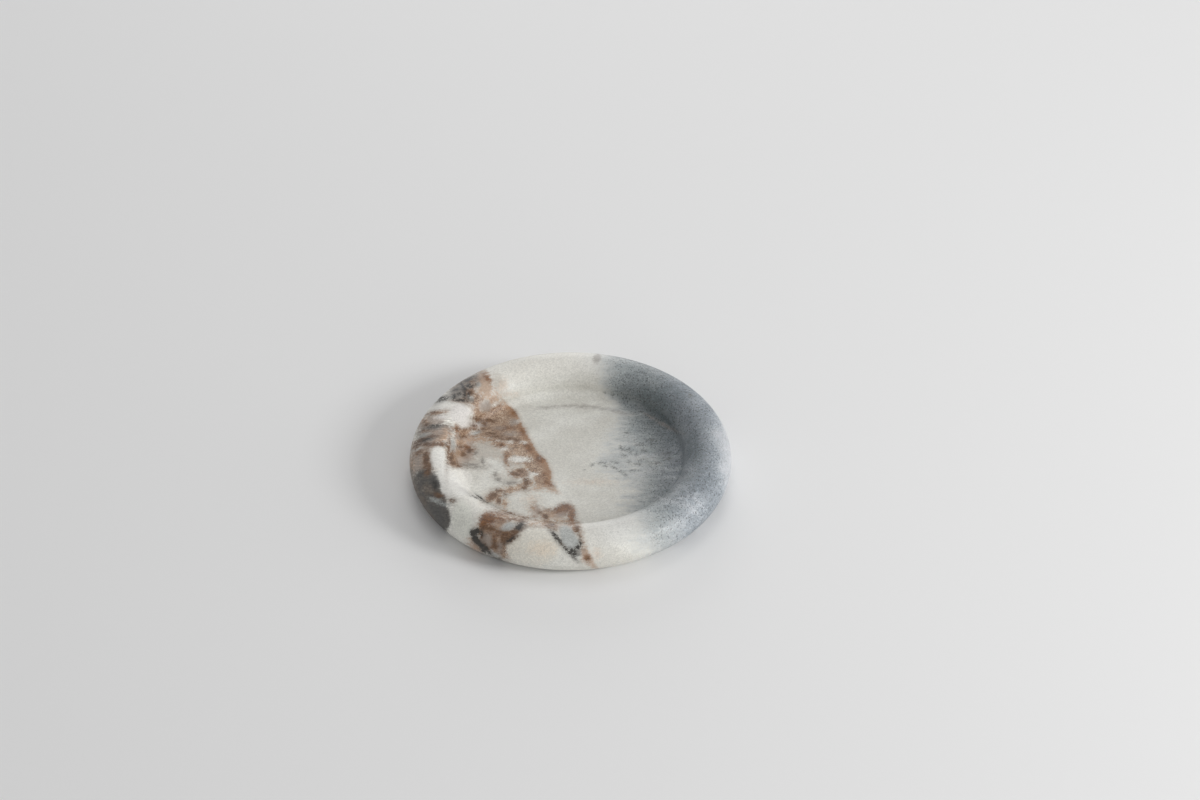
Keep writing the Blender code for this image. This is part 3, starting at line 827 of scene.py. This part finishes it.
def groupMask(name, group, inputs):  # a node group of its own, so that the tree stays quick to build
    tree = bpy.data.node_groups.new(name, "ShaderNodeTree")
    for key in inputs:
        kind = "Vector" if key == "place" else "Float"
        tree.interface.new_socket(key, in_out="INPUT", socket_type="NodeSocket" + kind)
    tree.interface.new_socket("mask", in_out="OUTPUT", socket_type="NodeSocketFloat")
    entry, leave = tree.nodes.new("NodeGroupInput"), tree.nodes.new("NodeGroupOutput")
    place, crumble, speck, limit = [Wire(tree, entry.outputs[key]) for key in inputs]
    turned = turnedPlaces(place, group["places"])
    field = None
    for mark in group["places"]:
        depth = markDepth(turned, mark)
        field = depth if field is None else field.math("MAXIMUM", field, depth)
    field = field + crumble * group["ragged"]
    if group.get("bounded"):
        field = field.math("MINIMUM", field, limit + crumble * marble["faultCrumble"])
    field = field + speck * marble["dither"]
    edge = group["soft"] * marble["edge"]
    mask = ease(field, -edge, edge) * group["strength"]
    if "halo" in group:
        reach, strength = group["halo"]
        mask = mask.math("MAXIMUM", mask, ease(field, -reach, marble["haloInside"]) * strength)
    tree.links.new(mask.socket, leave.inputs["mask"])
    return inputs["place"].node("Group", {"node_tree": tree}, inputs)


def lineAt(v, line):  # reads x off a line drawn through (v, x) places
    (lowV, highV), (lowX, highX) = marble["spanV"], marble["spanX"]
    points = [((atV - lowV) / (highV - lowV), (atX - lowX) / (highX - lowX)) for atV, atX in line]
    along = v.node("MapRange", {}, {"Value": v, "From Min": lowV, "From Max": highV})
    return along.node("FloatCurve", {"points": points}, {"Value": along}) * (highX - lowX) + lowX


def slateAmount(place, x, v):
    turned = turnedPlaces(place, slate["places"])
    total = ease(x, lineAt(v, slate["start"]), lineAt(v, slate["full"])) * slate["share"]
    for *mark, soft, share in slate["places"]:
        total = total + ease(markDepth(turned, mark), 0, soft) * share
    return total


def patternPlace(wire):  # object coordinates, laid on the dip of the bedding
    scale = marble["widthInPattern"] / (2 * trayRadius)
    lean = marble["dip"] - pi / 2
    rise = -widestLevel * scale
    sockets = {
        "Vector": objectPlace(wire), "Scale": (scale, scale, scale), "Rotation": (lean, 0, 0),
        "Location": (0, rise * cos(marble["dip"]), rise * sin(marble["dip"])),
    }
    return wire.node("Mapping", {"vector_type": "POINT"}, sockets)


def shiftBy(place, shift, reach):  # moves a place by a noise colour, both ways, within the pattern's plane
    centred = place.node("VectorMath", {"operation": "SUBTRACT"}, {0: shift, 1: (0.5, 0.5, 0.5)})
    sockets = {0: centred, 1: (2 * reach, 2 * reach, 0), 2: place}
    return place.node("VectorMath", {"operation": "MULTIPLY_ADD"}, sockets)


def layer(solid, name, output=0):  # one of the marble's noise layers
    shape, size, detail, roughness = marble["layers"][name]
    place = stretch(solid, *shape) if shape else solid
    return cloud(place, size, detail, roughness, output)


def groundColour(x, height, clouds):
    ground = blend(clouds, marble["white"], marble["greige"])
    rim = blend(ease(x, *marble["rimCools"]), marble["rimWhite"], marble["coolRim"])
    return blend(ease(height, *marble["rimHeights"]) * marble["rimShare"], ground, rim)


def greyAmount(solid, place, x, v, height):
    bands = layer(solid, "bands") - 0.5
    puffs = layer(solid, "puffs") - 0.5
    onFloor = ease(height, *slate["floorHeights"]) * ease(x, *slate["bandsFrom"])
    grey = slateAmount(place, x, v) + bands * onFloor * slate["bands"]
    return grey + puffs * ease(x, *slate["puffsFrom"]) * slate["puffs"]


def laySlate(ground, solid, x, grey, grain, powder):
    streaks = layer(solid, "streaks") - 0.5
    texture = streaks * slate["streaks"] + grain * slate["grain"] + powder * slate["powder"]
    greyHere = grey + texture * (grey * slate["textureWithGrey"] + slate["texture"])
    colour = greyHere.node("ValToRGB", {"stops": slate["stops"]}, {"Fac": greyHere})
    colour = blend(ease(x, *slate["coolsFrom"]), colour, slate["cool"], "MULTIPLY")
    return blend(ease(greyHere, *slate["shows"]), ground, colour)


def paintMarks(colour, inputs, mottle, bedded):
    for name, group in marks.items():
        if name == "white":  # the bedding shows in the brown marks under this group
            colour = blend(1.0, colour, shadeOf(bedded), "MULTIPLY")
        paint = group.get("colour")
        if group.get("mottled"):
            paint = mottle.node("ValToRGB", {"stops": breccia["stops"]}, {"Fac": mottle})
            nearFault = ease(inputs["limit"], *breccia["faultRange"]) * breccia["faultShare"]
            paint = blend(nearFault, paint, breccia["faultTone"])
        if "light" in group:
            paint = blend(ease(mottle, *breccia["lightRange"]), paint, group["light"])
        colour = blend(groupMask(name, group, inputs), colour, paint)
    return colour


def speckle(solid, greyed, inBreccia, grain, powder):  # how light the crystals are
    more = greyed * marble["moreInSlate"] + inBreccia * marble["moreInBreccia"] + 1
    shade = 1 + (grain * marble["grain"] + powder * marble["powder"]) * more
    colours = cells(solid, marble["pepperSize"], "Color")
    pepper, salt, pits = marble["pepper"], marble["salt"], marble["pits"]
    dark = ease(channel(colours, "Green"), *pepper["range"])
    light = ease(channel(colours, "Blue"), *salt["range"])
    shade = shade - dark * (greyed * pepper["inSlate"] + pepper["elsewhere"])
    shade = shade + light * (greyed * salt["inSlate"] + salt["elsewhere"])
    holes = ease(cells(solid, pits["spacing"], "Distance"), *pits["edge"])
    kept = ease(channel(cells(solid, pits["spacing"], "Color"), "Red"), *pits["kept"])
    return shade - holes * kept * (greyed * pits["inSlate"] + pits["elsewhere"])


def makeMarble():
    material, shader, wire = newMaterial("honed marble", marble["roughness"])
    solid = patternPlace(wire)
    height = axis(objectPlace(wire), "Z")
    place = shiftBy(stretch(solid, 1, 1, 0), layer(solid, "drift", "Color"), marble["drift"])
    place = shiftBy(place, layer(solid, "shiver", "Color"), marble["shiver"])
    x, v = axis(place, "X"), axis(place, "Y")
    limit = lineAt(v, faultLine) - x
    grain = channel(cells(solid, marble["grainSize"], "Color"), "Red") - 0.5
    powder = layer(solid, "powder") - 0.5
    clouds = ease(layer(solid, "clouds"), *marble["cloudRange"])
    grey = greyAmount(solid, place, x, v, height)
    colour = laySlate(groundColour(x, height, clouds), solid, x, grey, grain, powder)
    mottle = layer(solid, "mottle") + (layer(solid, "blotch") - 0.5) * breccia["blotch"]
    mottle = mottle + powder * breccia["powder"]
    onLeft = ease(x, *breccia["beddingFrom"]) * ease(height, *breccia["beddingHeights"])
    bedded = 1 + (layer(solid, "bedding") - 0.5) * breccia["bedding"] * onLeft
    inputs = {
        "place": place, "crumble": (layer(solid, "crumble") - 0.5) * marble["crumble"],
        "speck": grain * marble["ditherGrain"] + powder * marble["ditherPowder"], "limit": limit,
    }
    colour = paintMarks(colour, inputs, mottle, bedded)
    greyed, inBreccia = ease(grey, *marble["slateRange"]), ease(limit, *marble["brecciaRange"])
    shade = speckle(solid, greyed, inBreccia, grain, powder)
    connect(blend(1.0, colour, shadeOf(shade), "MULTIPLY"), shader, "Base Color")
    uneven = clouds * marble["cloudRoughness"] + grain * marble["grainRoughness"]
    connect(uneven + marble["roughness"], shader, "Roughness")
    sockets = {
        "Height": grain * marble["reliefGrain"] + powder, "Strength": marble["reliefStrength"],
        "Distance": marble["relief"],
    }
    connect(wire.node("Bump", {}, sockets), shader, "Normal")
    return material


marbleBody.data.materials.clear()
marbleBody.data.materials.append(makeMarble())
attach(marbleBody, "root")
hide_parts("stone_body")
print("marble laid")

# Felt and film are patterned in millimetres
perMetre = 1000

# Felt pads, one in each pocket
feltPad = {
    "sides": 96,
    "rings": 9,
    "edgeRound": 0.00018,
    "edgeSteps": 3,
    "napDepth": 0.00007,  # how far the hairy surface dips in from the die-cut shape
    "napSize": 0.0004,
    "nap": (0.8, 2, 3),  # the noise's roughness, the step between its octaves and how many there are
    "base": tone(112, 110, 108),
    "light": tone(150, 148, 145),
    "dark": tone(78, 77, 76),
    "baseShare": 0.45,
    "roughness": 0.95,
    "sheen": 0.35,
    "sheenRoughness": 0.6,
    "fibre": {"size": 0.12, "detail": 4, "roughness": 0.7},
    "wisps": {"size": 0.9, "detail": 5, "roughness": 0.75},
    "wispStretch": (1, 6, 3),
    "wispRange": (0.55, 0.75),
    "wispShare": 0.5,
    "darkPatches": {"size": 2.5, "detail": 2},
    "darkPatchRange": (0.3, 0.7),
    "darkPatchShare": 0.25,
    "relief": 0.0001,
    "reliefStrength": 0.6,
}


def makeFeltPad(name, setup):
    low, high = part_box(name)
    centre, radius, thickness = (low + high) / 2, (high.x - low.x) / 2, high.z - low.z
    bm = bmesh.new()
    place = Matrix.Translation(centre)
    bmesh.ops.create_cone(
        bm, cap_ends=True, segments=setup["sides"], radius1=radius, radius2=radius, depth=thickness,
        matrix=place,
    )
    rims = [edge for edge in bm.edges if abs(edge.verts[0].co.z - edge.verts[1].co.z) < tiny]
    bmesh.ops.bevel(
        bm, geom=rims, offset=setup["edgeRound"], offset_type="OFFSET", segments=setup["edgeSteps"],
        profile=0.5, affect="EDGES", material=-1,
    )
    caps = [face for face in bm.faces if len(face.verts) == setup["sides"]]
    step = radius / (setup["rings"] + 1)
    for ring in range(setup["rings"]):
        bmesh.ops.inset_region(bm, faces=caps, thickness=step, use_even_offset=True)
    bmesh.ops.poke(bm, faces=caps)
    bmesh.ops.recalc_face_normals(bm, faces=bm.faces)
    bm.normal_update()
    dips = {}
    for corner in bm.verts:
        nap = noise.fractal(corner.co / setup["napSize"], *setup["nap"])
        onSeat = corner.co.z < low.z + tiny and nap > 0  # the highest hairs still touch the table
        dips[corner] = 0 if onSeat else setup["napDepth"] * min(1, abs(nap))
    for corner, dip in dips.items():
        corner.co -= corner.normal * dip
    mesh = bpy.data.meshes.new(name + "_felt")
    bm.to_mesh(mesh)
    bm.free()
    mesh.shade_smooth()
    pad = bpy.data.objects.new(name + "_felt", mesh)
    bpy.context.scene.collection.objects.link(pad)
    return pad


def makeFelt(setup):
    material, shader, wire = newMaterial("grey wool felt", setup["roughness"])
    shader.inputs["Sheen Weight"].default_value = setup["sheen"]
    shader.inputs["Sheen Roughness"].default_value = setup["sheenRoughness"]
    place = stretch(objectPlace(wire), perMetre, perMetre, perMetre)
    tangle = cloud(place, **setup["fibre"])
    wisps = cloud(stretch(place, *setup["wispStretch"]), **setup["wisps"])
    # patches where the felt is darker, spread at random by a noise
    darkPatches = ease(cloud(place, **setup["darkPatches"]), *setup["darkPatchRange"])
    colour = blend(tangle, setup["dark"], setup["light"])
    colour = blend(setup["baseShare"], colour, setup["base"])
    colour = blend(ease(wisps, *setup["wispRange"]) * setup["wispShare"], colour, setup["light"])
    connect(blend(darkPatches * setup["darkPatchShare"], colour, setup["dark"]), shader, "Base Color")
    sockets = {"Height": tangle + wisps, "Strength": setup["reliefStrength"], "Distance": setup["relief"]}
    connect(wire.node("Bump", {}, sockets), shader, "Normal")
    return material


felt = makeFelt(feltPad)
for name in pads:
    pad = makeFeltPad(name, feltPad)
    pad.data.materials.append(felt)
    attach(pad, "root")
    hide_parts(name)
print("felt pads cut:", len(pads))

# Adhesive discs keep the frame's own shape
adhesiveFilm = {
    "roughness": 0.35,
    "film": tone(226, 222, 208),
    "haze": tone(205, 199, 182),
    "hazeCloud": {"size": 1.8, "detail": 3},
    "hazeRange": (0.4, 0.65),
    "bubble": 0.5,
    "bubbleDull": (0.05, 0.3),
    "dullShare": 0.2,
    "bubbleEdge": (0.02, 0.25),
    "relief": 0.00005,
    "reliefStrength": 0.3,
}


def makeAdhesive(setup):
    material, shader, wire = newMaterial("acrylic adhesive film", setup["roughness"])
    place = stretch(objectPlace(wire), perMetre, perMetre, perMetre)
    haze = ease(cloud(place, **setup["hazeCloud"]), *setup["hazeRange"])
    bubbles = cells(place, setup["bubble"], "Distance")
    connect(blend(haze, setup["film"], setup["haze"]), shader, "Base Color")
    dull = ease(bubbles, *setup["bubbleDull"]) * setup["dullShare"] + setup["roughness"]
    connect(dull, shader, "Roughness")
    sockets = {
        "Height": ease(bubbles, *setup["bubbleEdge"]), "Strength": setup["reliefStrength"],
        "Distance": setup["relief"],
    }
    connect(wire.node("Bump", {}, sockets), shader, "Normal")
    return material


adhesive = makeAdhesive(adhesiveFilm)
for name in films:
    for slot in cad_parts[name].material_slots:
        slot.material = adhesive
print("adhesive finished")
